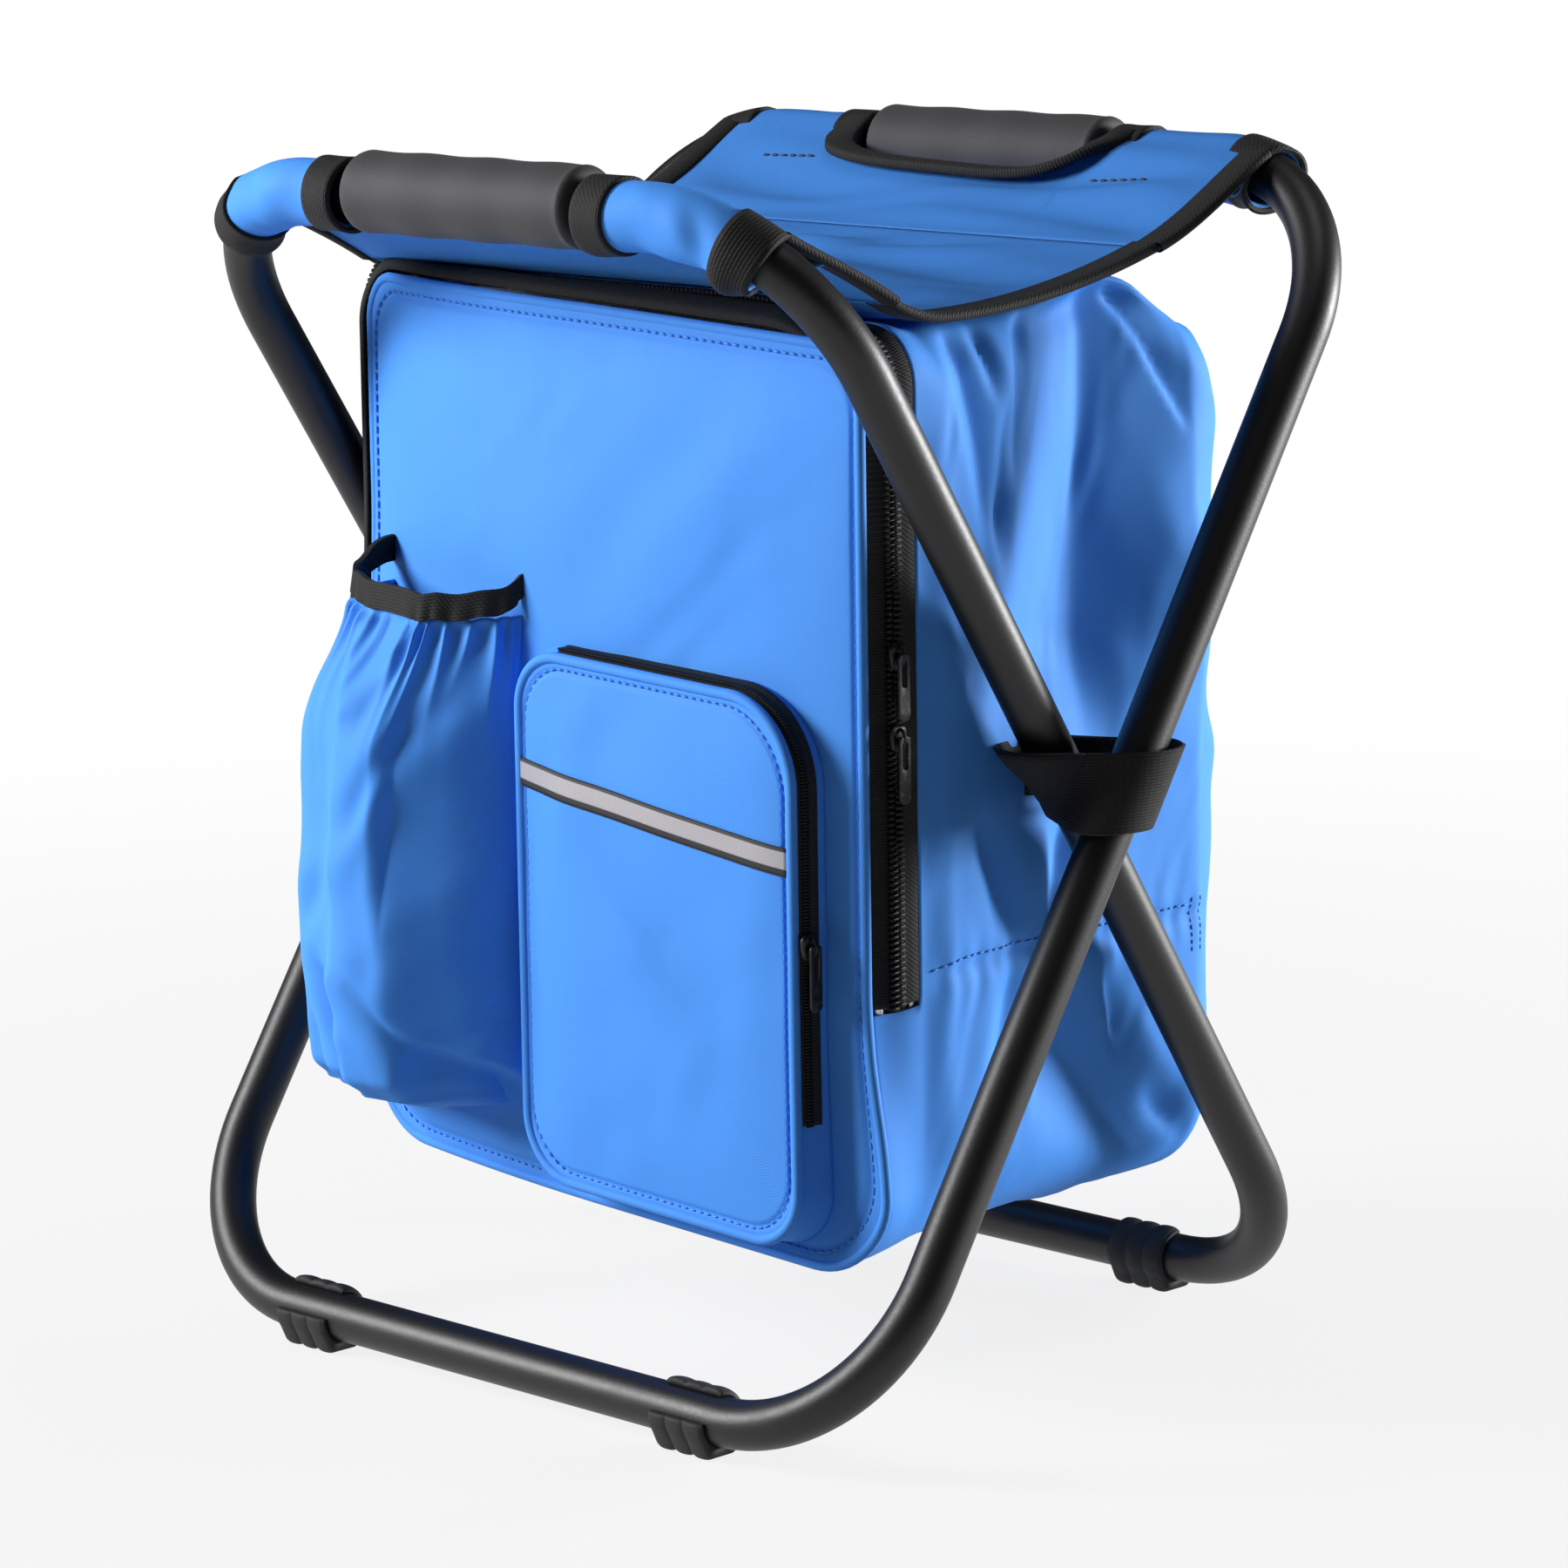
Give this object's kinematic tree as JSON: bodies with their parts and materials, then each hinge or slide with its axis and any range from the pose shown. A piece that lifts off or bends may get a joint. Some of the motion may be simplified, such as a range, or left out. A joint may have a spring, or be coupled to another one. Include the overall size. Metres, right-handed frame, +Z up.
{
  "type": "folding cooler stool",
  "caption": "Folding stool of two crossed bent-tube loops with a sling seat and an insulated zip-front backpack hung between them, with a zip pocket and a bottle pocket.",
  "frame": {"origin": "on the floor, under the middle of the opened stool", "axes": "+Z up, front of the bag towards -Y, +X to the right seen from the front"},
  "size_m": [0.3488, 0.2678, 0.4026],
  "materials": {
    "tube_paint": "satin black powder coat",
    "rivet_zinc": "zinc plated",
    "black_plastic": "moulded",
    "foot_rubber": "matt",
    "grip_foam": "closed-cell foam",
    "blue_cloth": "coated plain-weave polyester",
    "pad_cloth": "coated plain-weave polyester over padding",
    "black_webbing": "woven webbing",
    "insulation": "expanded foam",
    "foil_liner": "laminated foil",
    "zip_tape": "woven tape with coil teeth",
    "zip_metal": "black enamel",
    "reflector": "retroreflective tape"
  },
  "bodies": {
    "bag": {"strap_adjuster_right": "black_plastic", "strap_adjuster_left": "black_plastic", "seat_centre": "blue_cloth", "bag_shell": "blue_cloth", "front_panel_cover": "blue_cloth", "pocket_gusset": "blue_cloth", "pocket_front": "blue_cloth", "bottle_pocket": "blue_cloth", "strap_pad_right": "pad_cloth", "strap_pad_left": "pad_cloth", "crossing_loop_right": "black_webbing", "crossing_loop_left": "black_webbing", "bottle_pocket_elastic": "black_webbing", "strap_web_right": "black_webbing", "strap_web_left": "black_webbing", "bag_insulation": "insulation", "front_panel_foam": "insulation", "bag_liner": "foil_liner", "front_panel_liner": "foil_liner", "zip_tape_shell": "zip_tape", "zip_tape_panel_right": "zip_tape", "zip_tape_panel_left": "zip_tape", "pocket_zip_tape": "zip_tape", "reflective_strip_left": "reflector"},
    "inner_frame": {"inner_tube": "tube_paint", "inner_joiner": "rivet_zinc", "inner_grip": "grip_foam", "rear_foot_right": "foot_rubber", "rear_foot_left": "foot_rubber", "seat_front_half": "blue_cloth"},
    "outer_frame": {"outer_tube": "tube_paint", "outer_joiner": "rivet_zinc", "outer_grip": "grip_foam", "front_foot_right": "foot_rubber", "front_foot_left": "foot_rubber", "seat_back_half": "blue_cloth", "pivot_rivet_right": "rivet_zinc", "pivot_rivet_left": "rivet_zinc", "pivot_spacer_right": "black_plastic", "pivot_spacer_left": "black_plastic"},
    "front_flap": {"front_flap_cover": "blue_cloth", "front_flap_foam": "insulation", "front_flap_liner": "foil_liner", "zip_tape_flap": "zip_tape"},
    "pocket_flap": {"pocket_corner_flap": "blue_cloth", "reflective_strip_right": "reflector"},
    "main_slider_upper": {"main_slider_upper": "zip_metal"},
    "main_slider_lower": {"main_slider_lower": "zip_metal"},
    "main_pull_upper": {"main_pull_upper": "zip_metal"},
    "main_pull_lower": {"main_pull_lower": "zip_metal"},
    "pocket_slider": {"pocket_slider": "zip_metal"},
    "pocket_pull": {"pocket_pull": "zip_metal"}
  },
  "joints": [
    {"name": "fold_inner", "type": "hinge", "parent": "bag", "child": "inner_frame", "pos_m": [0, 0, 0.20134], "axis": [-1, 0, 0], "range_deg": [0, 28], "deforming": ["seat_front_half"]},
    {"name": "fold_outer", "type": "hinge", "parent": "bag", "child": "outer_frame", "pos_m": [0, 0, 0.20134], "axis": [1, 0, 0], "range_deg": [0, 28], "deforming": ["seat_back_half"]},
    {"name": "flap_open", "type": "hinge", "parent": "bag", "child": "front_flap", "pos_m": [0, -0.074, 0.2593], "axis": [1, 0, 0], "range_deg": [0, 90]},
    {"name": "pocket_flap_open", "type": "hinge", "parent": "bag", "child": "pocket_flap", "pos_m": [-0.0045, -0.0911, 0.239], "axis": [0.6168, 0, -0.7872], "range_deg": [0, 150]},
    {"name": "main_slider_upper_travel", "type": "slide", "parent": "bag", "child": "main_slider_upper", "axis": [0, 0, 1], "range_m": [0, 0.05]},
    {"name": "main_slider_lower_travel", "type": "slide", "parent": "bag", "child": "main_slider_lower", "axis": [0, 0, 1], "range_m": [-0.078, 0]},
    {"name": "main_pull_upper_swing", "type": "hinge", "parent": "main_slider_upper", "child": "main_pull_upper", "pos_m": [0.1286, -0.0627, 0.2573], "axis": [0, -1, 0], "range_deg": [0, 90]},
    {"name": "main_pull_lower_swing", "type": "hinge", "parent": "main_slider_lower", "child": "main_pull_lower", "pos_m": [0.1286, -0.0627, 0.2313], "axis": [0, -1, 0], "range_deg": [0, 90]},
    {"name": "pocket_slider_travel", "type": "slide", "parent": "bag", "child": "pocket_slider", "axis": [0, 0, 1], "range_m": [-0.05, 0.05]},
    {"name": "pocket_pull_swing", "type": "hinge", "parent": "pocket_slider", "child": "pocket_pull", "pos_m": [0.1036, -0.0845, 0.165], "axis": [0, -1, 0], "range_deg": [0, 90]}
  ],
  "couplings": [
    {"joint": "fold_outer", "follows": "fold_inner", "ratio": 1}
  ]
}
